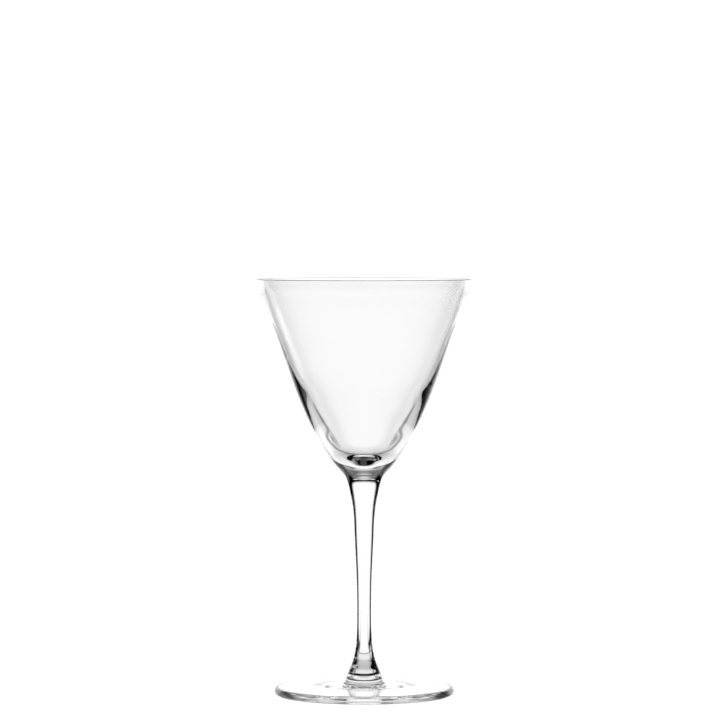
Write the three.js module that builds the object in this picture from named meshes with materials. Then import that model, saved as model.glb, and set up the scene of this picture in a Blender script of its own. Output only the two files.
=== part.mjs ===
// Stemmed martini glass in clear glass: a conical bowl, a drawn stem and a round foot,
// three solid pieces fused end to end on flat faces. Millimetres, +Z up.
// Origin: centre of the underside of the foot, on the surface that the glass stands on.
import * as THREE from "three";

// ---- driving dimensions (mm) ----
const HEIGHT = 175; // table to rim
const RIM_R = 45.1; // outer radius at the rim
const LIP_R = 0.42; // radius of the rounded, fire-polished lip
const BOWL_JOINT_Z = 93; // fused face between bowl and stem
const BOWL_JOINT_R = 8.55;
const BOWL_FLOOR_Z = 99.47; // lowest point of the inside of the bowl
const FOOT_JOINT_Z = 5.2; // fused face between stem and foot
const FOOT_JOINT_R = 8.64;
const FOOT_R = 37.75; // outer radius of the foot
const FOOT_EDGE_Z = 3.44; // height of the foot's edge
const FOOT_TIP_R = 0.64; // rounding at the top of the edge
const FOOT_BASE_R = 1.9; // and at its base
const FOOT_LEAN = 24.59; // degrees by which the side of the edge leans in
const FOOT_KICK_R = 33.32; // radius of the shallow hollow pressed into the underside
const FOOT_KICK = 1.52; // its depth at the centre

const BOWL_SEGMENTS = 64;
const STEM_SEGMENTS = 40;
const FOOT_SEGMENTS = 72;

// Outside of the bowl, from the fused face up to the lip: [height, radius].
const BOWL_OUTSIDE = [
  [BOWL_JOINT_Z, BOWL_JOINT_R],
  [94.2, 9.57],
  [95.5, 10.82],
  [97, 12.15],
  [99, 13.63],
  [102, 15.62],
  [106, 18.15],
  [110, 20.46],
  [115, 23.06],
  [121, 25.78],
  [127, 28.21],
  [133, 30.42],
  [139, 32.54],
  [145, 34.53],
  [151, 36.6],
  [157, 38.92],
  [163, 41.3],
  [167, 42.75],
  [170, 43.78],
  [172.5, 44.58],
  [HEIGHT - LIP_R, RIM_R],
];

// Inside of the bowl, from the lip down to the middle of its floor. The wall is thin at the
// rim, thickens steadily, and is heaviest around the rounded bottom.
const BOWL_INSIDE = [
  [HEIGHT - LIP_R, RIM_R - 2 * LIP_R],
  [172, 43.6],
  [168, 42.22],
  [164, 40.77],
  [160, 39.17],
  [156, 37.51],
  [152, 35.81],
  [148, 34.18],
  [144, 32.59],
  [140, 30.95],
  [136.5, 29.42],
  [133, 27.8],
  [130, 26.31],
  [127, 24.7],
  [124, 23.04],
  [121, 21.35],
  [118, 19.56],
  [115, 17.65],
  [112, 15.63],
  [109, 13.67],
  [106, 11.57],
  [103.5, 9.44],
  [102.94, 8.8],
  [101.46, 6.6],
  [100.55, 4.4],
  [99.69, 2.2],
  [BOWL_FLOOR_Z, 0],
];

// Outside of the stem, from the fused face on the foot up to the one under the bowl.
const STEM_OUTSIDE = [
  [FOOT_JOINT_Z, FOOT_JOINT_R],
  [6.35, 7.75],
  [7.9, 7.4],
  [9.47, 6.81],
  [11.01, 6.18],
  [12.53, 5.6],
  [14.02, 5.01],
  [16.01, 4.39],
  [18.51, 3.85],
  [21.5, 3.4],
  [24.5, 3.18],
  [29, 3.02],
  [36, 2.97],
  [44, 3.05],
  [52, 3.29],
  [60, 3.68],
  [68, 4.06],
  [76, 4.46],
  [80, 4.92],
  [84, 5.66],
  [87.5, 6.4],
  [89.5, 6.88],
  [91, 7.38],
  [92, 7.88],
  [BOWL_JOINT_Z, BOWL_JOINT_R],
];

// Top of the foot, from where the rounded edge ends inwards to the fused face.
const FOOT_TOP = [
  [3.57, 34],
  [3.76, 29],
  [4, 23],
  [4.27, 17],
  [4.95, 12.54],
  [4.98, 10.43],
  [FOOT_JOINT_Z, FOOT_JOINT_R],
];

// A smooth curve through [height, radius] stations, as points for a turned profile.
function smooth(stations, perSpan) {
  const curve = new THREE.CatmullRomCurve3(
    stations.map(([z, r]) => new THREE.Vector3(r, z, 0)),
    false,
    "centripetal",
  );
  return curve
    .getPoints((stations.length - 1) * perSpan)
    .map((p) => new THREE.Vector2(Math.max(p.x, 0), p.y));
}

// An arc in the profile plane about [height z, radius r], from angle a to angle b (radians,
// 0 pointing outwards, pi/2 up), without its first and last points.
function arc(r, z, radius, a, b, steps) {
  const points = [];
  for (let i = 1; i < steps; i++) {
    const t = a + ((b - a) * i) / steps;
    points.push(
      new THREE.Vector2(r + radius * Math.cos(t), z + radius * Math.sin(t)),
    );
  }
  return points;
}

// The edge of the foot: a large rounding up from the flat underside, a short side that leans
// in, and a small rounding over into the top.
function footEdge() {
  const lean = (FOOT_LEAN * Math.PI) / 180;
  const [s, c] = [Math.sin(lean), Math.cos(lean)];
  const side =
    (FOOT_EDGE_Z - FOOT_TIP_R * (1 - s) - FOOT_BASE_R * (1 + s)) / c;
  const tip =
    FOOT_R - FOOT_BASE_R * (1 - c) - side * s - FOOT_TIP_R * c;
  return [
    new THREE.Vector2(FOOT_R - FOOT_BASE_R, 0),
    ...arc(FOOT_R - FOOT_BASE_R, FOOT_BASE_R, FOOT_BASE_R, -Math.PI / 2, lean, 7),
    new THREE.Vector2(
      FOOT_R - FOOT_BASE_R * (1 - c),
      FOOT_BASE_R * (1 + s),
    ),
    new THREE.Vector2(
      tip + FOOT_TIP_R * c,
      FOOT_EDGE_Z - FOOT_TIP_R * (1 - s),
    ),
    ...arc(tip, FOOT_EDGE_Z - FOOT_TIP_R, FOOT_TIP_R, lean, Math.PI / 2, 4),
    new THREE.Vector2(tip, FOOT_EDGE_Z),
  ];
}

const axisPoint = (z) => new THREE.Vector2(0, z);

// A solid of revolution about Z, from a profile that starts and ends on the axis.
function turned(name, profile, segments, material) {
  const mesh = new THREE.Mesh(
    new THREE.LatheGeometry(profile, segments),
    material,
  );
  mesh.name = name;
  mesh.rotation.x = Math.PI / 2; // the lathe turns about Y
  return mesh;
}

const glass = (name, color) => {
  const material = new THREE.MeshStandardMaterial({
    color,
    roughness: 0.04,
    metalness: 0,
    transparent: true,
    opacity: 0.35,
  });
  material.name = name;
  return material;
};

// ---- bowl ----
const bowlProfile = [
  axisPoint(BOWL_JOINT_Z),
  ...smooth(BOWL_OUTSIDE, 1),
  ...arc(RIM_R - LIP_R, HEIGHT - LIP_R, LIP_R, 0, Math.PI, 4),
  ...smooth(BOWL_INSIDE, 1),
];
const bowl = turned(
  "bowl",
  bowlProfile,
  BOWL_SEGMENTS,
  glass("clear_bowl_glass", 0xf6f7f7),
);

// ---- stem ----
const stemProfile = [
  axisPoint(FOOT_JOINT_Z),
  ...smooth(STEM_OUTSIDE, 1),
  axisPoint(BOWL_JOINT_Z),
];
const stem = turned(
  "stem",
  stemProfile,
  STEM_SEGMENTS,
  glass("clear_stem_glass", 0xf4f5f5),
);

// ---- foot ----
// The underside is a flat ring around a very shallow hollow, so it can't rock.
const hollow = [0, 0.2, 0.4, 0.6, 0.8, 1].map(
  (u) => new THREE.Vector2(FOOT_KICK_R * u, FOOT_KICK * (1 - u * u) ** 2),
);
const footProfile = [
  ...hollow,
  ...footEdge(),
  ...smooth(FOOT_TOP, 1),
  axisPoint(FOOT_JOINT_Z),
];
const foot = turned(
  "foot",
  footProfile,
  FOOT_SEGMENTS,
  glass("clear_foot_glass", 0xf2f4f4),
);

const martiniGlass = new THREE.Group();
martiniGlass.name = "martini_glass";
martiniGlass.add(foot, stem, bowl);

export default martiniGlass;
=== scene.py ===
import math

import bpy
import numpy as np
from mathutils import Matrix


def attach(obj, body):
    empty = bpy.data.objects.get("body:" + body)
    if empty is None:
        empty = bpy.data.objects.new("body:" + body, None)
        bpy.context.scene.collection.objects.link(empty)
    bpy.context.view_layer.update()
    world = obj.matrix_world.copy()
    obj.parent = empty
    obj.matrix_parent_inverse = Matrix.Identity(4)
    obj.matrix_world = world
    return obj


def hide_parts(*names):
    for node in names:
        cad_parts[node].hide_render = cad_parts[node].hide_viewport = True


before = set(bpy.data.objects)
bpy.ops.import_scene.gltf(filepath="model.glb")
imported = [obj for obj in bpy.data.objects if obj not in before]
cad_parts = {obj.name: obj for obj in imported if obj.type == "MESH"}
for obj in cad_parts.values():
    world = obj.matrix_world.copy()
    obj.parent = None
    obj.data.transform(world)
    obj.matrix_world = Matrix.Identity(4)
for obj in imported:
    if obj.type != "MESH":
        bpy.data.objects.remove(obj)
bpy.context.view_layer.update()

# ---------------------------------------------------------------- dimensions
# millimetres; the same stations as the construction, [height, radius]
HEIGHT = 175.0
RIM_R = 45.1
LIP_R = 0.42
BOWL_JOINT_Z, BOWL_JOINT_R = 93.0, 8.552
FOOT_JOINT_Z, FOOT_JOINT_R = 5.2, 8.637
FOOT_R = 37.75
FOOT_EDGE_Z = 3.44     # height of the edge
FOOT_TIP_R = 0.64       # rounding at its top
FOOT_BASE_R = 1.9      # and at its base
FOOT_LEAN = 24.59         # degrees by which its side leans in
FOOT_KICK_R = 33.32
FOOT_KICK = 1.52

FOOT_TOP = [(3.572, 34), (3.757, 29), (4.002, 23.001), (4.268, 17.002), (4.95,
            12.535), (4.978, 10.426), (FOOT_JOINT_Z, FOOT_JOINT_R)]
STEM_OUTSIDE = [(FOOT_JOINT_Z, FOOT_JOINT_R), (6.349, 7.752), (7.898, 7.404), (9.474,
                6.807), (11.01, 6.181), (12.533, 5.603), (14.016, 5.009), (16.009,
                4.395), (18.508, 3.845), (21.5, 3.4), (24.5, 3.18), (29, 3.02), (36,
                2.97), (44, 3.05), (52, 3.29), (60, 3.68), (68, 4.06), (76, 4.46),
                (80, 4.92), (84, 5.664), (87.5, 6.404), (89.5, 6.88), (91, 7.382),
                (92, 7.876), (93, 8.552)]
BOWL_OUTSIDE = [(93, 8.552), (94.2, 9.57), (95.5, 10.821), (97, 12.153), (99, 13.632),
                (102, 15.624), (106, 18.147), (110, 20.461), (115, 23.064),
                (121, 25.777), (127, 28.214), (133, 30.417), (139, 32.538),
                (145, 34.534), (151, 36.604), (157, 38.925), (163, 41.298),
                (167, 42.747), (170, 43.78), (172.5, 44.58), (174.58, 45.1)]
# the bowl's inside, from the lip down to the axis
BOWL_INSIDE = [(174.58, 44.26), (172, 43.6), (168, 42.22), (164, 40.77),
               (160, 39.17), (156, 37.512), (152, 35.812), (148, 34.184),
               (144, 32.591), (140, 30.955), (136.5, 29.424), (133, 27.8),
               (130, 26.313), (127, 24.701), (124, 23.041), (121, 21.348),
               (118, 19.56), (115, 17.646), (112, 15.63), (109, 13.673), (106, 11.567),
               (103.5, 9.442), (102.944, 8.8), (101.463, 6.6), (100.549, 4.4),
               (99.692, 2.2), (99.471, 0)]

GLASS_IOR = 1.6      # estimated from the refraction; ordinary glass is 1.52
AROUND = 480          # faces around each turned piece
STEP = 0.5            # millimetres between rows of faces
MM = 0.001


# ---------------------------------------------------------------- outlines
def cubic(x, y, start=None, end=None):
    """Second-derivative table of a cubic spline through y(x). start and end give a slope, or None for a free end."""
    n = len(x)
    h = np.diff(x)
    a = np.zeros((n, n))
    b = np.zeros((n,) + y.shape[1:])
    for i in range(1, n - 1):
        a[i, i - 1], a[i, i], a[i, i + 1] = h[i - 1], 2 * (h[i - 1] + h[i]), h[i]
        b[i] = 6 * ((y[i + 1] - y[i]) / h[i] - (y[i] - y[i - 1]) / h[i - 1])
    if start is None:
        a[0, 0] = 1
    else:
        a[0, 0], a[0, 1] = 2 * h[0], h[0]
        b[0] = 6 * ((y[1] - y[0]) / h[0] - start)
    if end is None:
        a[-1, -1] = 1
    else:
        a[-1, -1], a[-1, -2] = 2 * h[-1], h[-1]
        b[-1] = 6 * (end - (y[-1] - y[-2]) / h[-1])
    return np.linalg.solve(a, b)


def at(x, y, m, t):
    """The spline's values at t."""
    i = np.clip(np.searchsorted(x, t, side="right") - 1, 0, len(x) - 2)
    h = x[i + 1] - x[i]
    u, v = (x[i + 1] - t) / h, (t - x[i]) / h
    if y.ndim > 1:
        h, u, v = h[:, None], u[:, None], v[:, None]
    return u * y[i] + v * y[i + 1] + ((u**3 - u) * m[i] + (v**3 - v) * m[i + 1]) * h * h / 6


def drawn(stations, step, end=None):
    """Points [radius, height] about step apart on one smooth curve through the stations."""
    p = np.array([(r, z) for z, r in stations], float)
    s = np.r_[0, np.cumsum(np.hypot(*np.diff(p, axis=0).T))]
    m = cubic(s, p, end=end)
    n = max(2, int(round(s[-1] / step)))
    t = np.linspace(0, s[-1], n + 1)
    return at(s, p, m, t)


def split_at(points, z):
    """Cuts a rising outline in two where it passes height z."""
    i = int(np.argmax(points[:, 1] >= z - 1e-9))
    a, b = points[i - 1], points[i]
    f = (z - a[1]) / (b[1] - a[1])
    cut = a + (b - a) * f
    low, high = points[:i], points[i:]
    if np.hypot(*(low[-1] - cut)) < 0.12:
        low = low[:-1]
    if np.hypot(*(high[0] - cut)) < 0.12:
        high = high[1:]
    return np.vstack([low, cut]), np.vstack([cut, high])


# foot edge, top, stem and bowl are one unbroken outline, so that the fused joints run smooth
def rounding(r, z, radius, a, b, n):
    t = np.linspace(a, b, n)
    return np.c_[r + radius * np.cos(t), z + radius * np.sin(t)]


lean = math.radians(FOOT_LEAN)
side = (FOOT_EDGE_Z - FOOT_TIP_R * (1 - math.sin(lean))
        - FOOT_BASE_R * (1 + math.sin(lean))) / math.cos(lean)
tip = (FOOT_R - FOOT_BASE_R * (1 - math.cos(lean)) - side * math.sin(lean)
       - FOOT_TIP_R * math.cos(lean))
low = rounding(FOOT_R - FOOT_BASE_R, FOOT_BASE_R, FOOT_BASE_R, -math.pi / 2, lean, 14)
high = rounding(tip, FOOT_EDGE_Z - FOOT_TIP_R, FOOT_TIP_R, lean, math.pi / 2 * 0.97, 12)
edge = np.vstack([low, low[-1] + np.outer([0.33, 0.67], high[0] - low[-1]), high])
outside = [(edge[-1][1], edge[-1][0])] + FOOT_TOP + STEM_OUTSIDE[1:] + BOWL_OUTSIDE[1:]
outline = drawn(outside, STEP)
foot_line, rest = split_at(outline, FOOT_JOINT_Z)
stem_line, bowl_line = split_at(rest, BOWL_JOINT_Z)

# the bowl's inside
inner_line = drawn(BOWL_INSIDE, STEP, end=np.array([-1.0, 0.0]))
inner_line[-1][0] = 0.0

# the fire-polished lip, a small round between the two walls
d0 = bowl_line[-1] - bowl_line[-2]
d1 = inner_line[1] - inner_line[0]
a0 = math.atan2(-d0[0], d0[1])
a1 = math.atan2(-d1[0], d1[1]) % (2 * math.pi)
turn = np.linspace(a0, a1, 15)
lip = np.c_[RIM_R - LIP_R + LIP_R * np.cos(turn), HEIGHT - LIP_R + LIP_R * np.sin(turn)]

# the underside, with its shallow kick-up
u = np.linspace(0, FOOT_KICK_R, 40)
under = np.c_[u, FOOT_KICK * (1 - (u / FOOT_KICK_R) ** 2) ** 2]
flat = np.c_[np.linspace(FOOT_KICK_R, FOOT_R - FOOT_BASE_R, 12)[1:-1],
             np.zeros(10)]


# ---------------------------------------------------------------- materials
def clear_glass(name, seed, stretch, waves, cords):
    """Colourless glass. Its gloss is broken only by faint polish marks, and its surface by the slow waves and fine cords that hot working leaves."""
    mat = bpy.data.materials.new(name)
    mat.use_nodes = True
    nt = mat.node_tree
    nt.nodes.clear()
    out = nt.nodes.new("ShaderNodeOutputMaterial")
    b = nt.nodes.new("ShaderNodeBsdfPrincipled")
    nt.links.new(b.outputs[0], out.inputs["Surface"])
    b.inputs["Base Color"].default_value = (0.995, 0.995, 0.995, 1)
    b.inputs["Metallic"].default_value = 0
    b.inputs["IOR"].default_value = GLASS_IOR
    b.inputs["Transmission Weight"].default_value = 1
    where = nt.nodes.new("ShaderNodeTexCoord")
    place = nt.nodes.new("ShaderNodeMapping")
    place.inputs["Location"].default_value = (seed, seed * 0.7, seed * 1.3)
    place.inputs["Scale"].default_value = stretch
    nt.links.new(where.outputs["Object"], place.inputs["Vector"])
    # polish marks
    fine = nt.nodes.new("ShaderNodeTexNoise")
    fine.inputs["Scale"].default_value = 420
    fine.inputs["Detail"].default_value = 3
    nt.links.new(place.outputs[0], fine.inputs["Vector"])
    rough = nt.nodes.new("ShaderNodeMapRange")
    rough.inputs["From Min"].default_value = 0.35
    rough.inputs["From Max"].default_value = 0.75
    rough.inputs["To Min"].default_value = 0.0
    rough.inputs["To Max"].default_value = 0.02
    nt.links.new(fine.outputs[0], rough.inputs["Value"])
    nt.links.new(rough.outputs[0], b.inputs["Roughness"])
    # slow waves, then cords, as one height
    slow = nt.nodes.new("ShaderNodeTexNoise")
    slow.inputs["Scale"].default_value = 38
    slow.inputs["Detail"].default_value = 1
    nt.links.new(place.outputs[0], slow.inputs["Vector"])
    cord = nt.nodes.new("ShaderNodeTexNoise")
    cord.inputs["Scale"].default_value = 190
    cord.inputs["Detail"].default_value = 2
    nt.links.new(place.outputs[0], cord.inputs["Vector"])
    bump = nt.nodes.new("ShaderNodeBump")
    bump.inputs["Strength"].default_value = 1
    bump.inputs["Distance"].default_value = waves
    nt.links.new(slow.outputs[0], bump.inputs["Height"])
    over = nt.nodes.new("ShaderNodeBump")
    over.inputs["Strength"].default_value = 1
    over.inputs["Distance"].default_value = cords
    nt.links.new(cord.outputs[0], over.inputs["Height"])
    nt.links.new(bump.outputs[0], over.inputs["Normal"])
    nt.links.new(over.outputs[0], b.inputs["Normal"])
    return mat


def fused(name):
    """The face inside a fused joint, where two pieces have melted into one. It shows nothing."""
    mat = bpy.data.materials.new(name)
    mat.use_nodes = True
    b = mat.node_tree.nodes["Principled BSDF"]
    b.inputs["Base Color"].default_value = (1, 1, 1, 1)
    b.inputs["Alpha"].default_value = 0
    return mat


# ---------------------------------------------------------------- turned pieces
def turned(name, profile, glass, hidden=None):
    """A closed piece turned round the Z axis. profile runs [radius, height] in millimetres from the axis round to the axis, with the material index of the band of faces that starts at each point."""
    pts = [p for p, _ in profile]
    mats = [m for _, m in profile]
    verts, rings = [], []
    ang = np.linspace(0, 2 * math.pi, AROUND, endpoint=False)
    ca, sa = np.cos(ang), np.sin(ang)
    for r, z in pts:
        if r < 1e-6:
            rings.append([len(verts)])
            verts.append((0, 0, z * MM))
        else:
            k = len(verts)
            rings.append(list(range(k, k + AROUND)))
            verts.extend(zip(r * ca * MM, r * sa * MM, [z * MM] * AROUND))
    faces, index = [], []
    for i in range(len(rings) - 1):
        a, b = rings[i], rings[i + 1]
        for k in range(AROUND):
            n = (k + 1) % AROUND
            if len(a) == 1:
                faces.append((a[0], b[n], b[k]))
            elif len(b) == 1:
                faces.append((a[k], a[n], b[0]))
            else:
                faces.append((a[k], a[n], b[n], b[k]))
            index.append(mats[i])
    me = bpy.data.meshes.new(name)
    me.from_pydata([tuple(float(c) for c in v) for v in verts], [], faces)
    me.polygons.foreach_set("material_index", index)
    me.polygons.foreach_set("use_smooth", [True] * len(faces))
    me.materials.append(glass)
    if hidden is not None:
        me.materials.append(hidden)
        # the rim of a fused face is a corner, so it doesn't bend the shading beside it
        used = {}
        for p in me.polygons:
            for e in p.edge_keys:
                used.setdefault(e, set()).add(p.material_index)
        for e in me.edges:
            if len(used[e.key]) > 1:
                e.use_edge_sharp = True
    me.update()
    ob = bpy.data.objects.new(name, me)
    bpy.context.scene.collection.objects.link(ob)
    return ob


def disc(r, z, n, outward=True):
    """Points across a flat face at height z."""
    q = np.linspace(0, r, n + 1)
    q = q if outward else q[::-1]
    return [(float(x), z) for x in q]


glass_bowl = clear_glass("bowl_glass", 1.7, (1, 1, 0.6), 0.000004, 0.0000006)
glass_stem = clear_glass("stem_glass", 4.2, (1, 1, 0.12), 0.000004, 0.000001)
glass_foot = clear_glass("foot_glass", 8.9, (1, 1, 1), 0.000004, 0.0000008)
joint_face = fused("fused_face")

# bowl: joint face, outside wall, lip, inside wall
prof = [(p, 1) for p in disc(float(bowl_line[0][0]), BOWL_JOINT_Z, 6)[:-1]]
prof += [(tuple(p), 0) for p in bowl_line[:-1]]
prof += [(tuple(p), 0) for p in lip[:-1]]
prof += [(tuple(p), 0) for p in inner_line]
bowl = turned("bowl_glass", prof, glass_bowl, joint_face)

# stem: lower joint face, side, upper joint face
prof = [(p, 1) for p in disc(float(stem_line[0][0]), FOOT_JOINT_Z, 6)[:-1]]
prof += [(tuple(p), 0) for p in stem_line[:-1]]
prof += [(p, 1) for p in disc(float(stem_line[-1][0]), BOWL_JOINT_Z, 6, False)]
stem = turned("stem_glass", prof, glass_stem, joint_face)

# foot: underside, edge, top, joint face
prof = [(tuple(p), 0) for p in under]
prof += [(tuple(p), 0) for p in flat]
prof += [(tuple(p), 0) for p in edge[:-1]]
prof += [(tuple(p), 0) for p in foot_line[:-1]]
prof += [(p, 1) for p in disc(float(foot_line[-1][0]), FOOT_JOINT_Z, 6, False)]
foot = turned("foot_glass", prof, glass_foot, joint_face)

for ob, node, slot in ((bowl, "bowl", "clear_bowl_glass"),
                       (stem, "stem", "clear_stem_glass"),
                       (foot, "foot", "clear_foot_glass")):
    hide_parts(node)
    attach(ob, "root")

# ---------------------------------------------------------------- camera
LENS = 210.6
DISTANCE, CAM_Z, PITCH, CAM_X = 1.766, 0.2013, math.radians(1.957), -0.00176
cam = bpy.data.cameras.new("camera")
cam.lens = LENS
cam.sensor_width = 36
cam.clip_start = 0.05
cam.clip_end = 50
camera = bpy.data.objects.new("camera", cam)
camera.location = (CAM_X, -DISTANCE, CAM_Z)
camera.rotation_euler = (math.pi / 2 - PITCH, 0, 0)
bpy.context.scene.collection.objects.link(camera)
bpy.context.scene.camera = camera


# ---------------------------------------------------------------- studio
class Nodes:
    """Short names for the arithmetic of a node tree."""

    def __init__(self, tree):
        self.t = tree

    def put(self, socket, value):
        if isinstance(value, (int, float)):
            socket.default_value = value
        else:
            self.t.links.new(value, socket)

    def math(self, op, *args):
        n = self.t.nodes.new("ShaderNodeMath")
        n.operation = op
        for i, a in enumerate(args):
            self.put(n.inputs[i], a)
        return n.outputs[0]

    def smooth(self, value, a, b, c=0.0, d=1.0):
        n = self.t.nodes.new("ShaderNodeMapRange")
        n.interpolation_type = "SMOOTHSTEP"
        n.clamp = True
        self.put(n.inputs["Value"], value)
        n.inputs["From Min"].default_value = a
        n.inputs["From Max"].default_value = b
        n.inputs["To Min"].default_value = c
        n.inputs["To Max"].default_value = d
        return n.outputs["Result"]


world = bpy.data.worlds.new("studio")
bpy.context.scene.world = world
world.use_nodes = True
wt = world.node_tree
wt.nodes.clear()
N = Nodes(wt)
coord = wt.nodes.new("ShaderNodeTexCoord")
sep = wt.nodes.new("ShaderNodeSeparateXYZ")
wt.links.new(coord.outputs["Generated"], sep.inputs[0])
DEG = 180 / math.pi
turn = N.math("MULTIPLY", N.math("ARCTAN2", sep.outputs["X"], sep.outputs["Y"]), DEG)
az = N.math("ABSOLUTE", turn)
el = N.math("MULTIPLY", N.math("ARCSINE", sep.outputs["Z"]), DEG)


def broken_line(value, stations):
    """A level that runs straight from station to station of [degrees, level], and stays flat beyond the ends."""
    out = stations[0][1]
    for (x0, y0), (x1, y1) in zip(stations, stations[1:]):
        n = wt.nodes.new("ShaderNodeMapRange")
        n.clamp = True
        wt.links.new(value, n.inputs["Value"])
        n.inputs["From Min"].default_value = x0
        n.inputs["From Max"].default_value = x1
        n.inputs["To Min"].default_value = 0
        n.inputs["To Max"].default_value = y1 - y0
        out = N.math("ADD", n.outputs["Result"], out)
    return out


def window(value, low, low_soft, high, high_soft):
    """1 between low and high, with soft ends. None leaves that end open."""
    out = None
    if low is not None:
        out = N.smooth(value, low - low_soft, low + low_soft)
    if high is not None:
        top = N.smooth(value, high - high_soft, high + high_soft, 1, 0)
        out = top if out is None else N.math("MULTIPLY", out, top)
    return out


# the white sweep behind the glass: its level and its half width, both by elevation
LEVEL = [(-56, 0.1), (-48, 0.6), (-28, 0.95), (-15, 1.1), (20, 1.14), (38, 0.15), (48, 0.25),
         (65, 0.85)]
HALF = [(-50, 60), (-14, 25), (-7, 44), (45, 40)]
SOFT = 8
GLOW, GLOW_HALF, GLOW_SOFT = 0.1, 10, 4
# a dark strip low down on each side of it, which draws the inner line of the bowl: azimuth of its
# middle and its depth, both by elevation
STRIP = [(-40, 38), (-8, 24)]
STRIP_DEPTH = [(-14, 0.6), (-5, 0)]
STRIP_HALF, STRIP_SOFT = 3.5, 2.5
# soft fills for the other views, which the front view hardly sees: each level, from and to azimuth on one
# side, from and to elevation, softness
FILLS = [
    (0.9, -54, -38, -32, -19, 4),
    (0.9, -108, -72, -10, 4, 5),
    (0.6, 122, 150, -24, -8, 5),
]

half = broken_line(el, HALF)
past = N.math("DIVIDE", N.math("SUBTRACT", az, half), 2 * SOFT)
across = N.smooth(past, -0.5, 0.5, 1, 0)
total = N.math("MULTIPLY", broken_line(el, LEVEL), across)
glow_up = window(el, -16, 5, -1, 2)
glow_across = window(az, None, 0, GLOW_HALF, GLOW_SOFT)
total = N.math("ADD", total, N.math("MULTIPLY", N.math("MULTIPLY", glow_up, glow_across), GLOW))
off = N.math("ABSOLUTE", N.math("SUBTRACT", az, broken_line(el, STRIP)))
dip = N.smooth(off, STRIP_HALF - STRIP_SOFT, STRIP_HALF + STRIP_SOFT, 1, 0)
dip = N.math("MULTIPLY", dip, broken_line(el, STRIP_DEPTH))
total = N.math("MULTIPLY", total, N.math("SUBTRACT", 1.0, dip))
for level, a0, a1, e0, e1, soft in FILLS:
    one = N.math("MULTIPLY", window(turn, a0, soft, a1, soft), window(el, e0, soft, e1, soft))
    total = N.math("ADD", total, N.math("MULTIPLY", one, level))
seen = wt.nodes.new("ShaderNodeBackground")
seen.inputs["Color"].default_value = (1, 1, 1, 1)
seen.inputs["Strength"].default_value = 1.1
glow = wt.nodes.new("ShaderNodeBackground")
glow.inputs["Color"].default_value = (1, 1, 1, 1)
wt.links.new(total, glow.inputs["Strength"])
path = wt.nodes.new("ShaderNodeLightPath")
mix = wt.nodes.new("ShaderNodeMixShader")
wt.links.new(path.outputs["Is Camera Ray"], mix.inputs[0])
wt.links.new(glow.outputs[0], mix.inputs[1])
wt.links.new(seen.outputs[0], mix.inputs[2])
wout = wt.nodes.new("ShaderNodeOutputWorld")
wt.links.new(mix.outputs[0], wout.inputs["Surface"])


def glowing(name, level):
    mat = bpy.data.materials.new(name)
    mat.use_nodes = True
    nt = mat.node_tree
    nt.nodes.clear()
    e = nt.nodes.new("ShaderNodeEmission")
    e.inputs["Color"].default_value = (1, 1, 1, 1)
    e.inputs["Strength"].default_value = level
    o = nt.nodes.new("ShaderNodeOutputMaterial")
    nt.links.new(e.outputs[0], o.inputs["Surface"])
    return mat


def plane(name, r, z, mat, n=64):
    me = bpy.data.meshes.new(name)
    a = [2 * math.pi * k / n for k in range(n)]
    me.from_pydata([(r * math.cos(t), r * math.sin(t), z) for t in a], [], [tuple(range(n))])
    me.materials.append(mat)
    ob = bpy.data.objects.new(name, me)
    bpy.context.scene.collection.objects.link(ob)
    return ob


floor = plane("floor", 40, -0.0002, glowing("floor_white", 1.1))
floor.visible_diffuse = floor.visible_glossy = floor.visible_transmission = False
floor.visible_shadow = floor.visible_volume_scatter = False
scene = bpy.context.scene
scene.view_settings.view_transform = "Standard"
scene.view_settings.look = "None"
scene.cycles.use_denoising = True
scene.cycles.denoising_input_passes = "RGB"
scene.cycles.max_bounces = 32
scene.cycles.glossy_bounces = 32
scene.cycles.transmission_bounces = 32
scene.cycles.transparent_max_bounces = 16
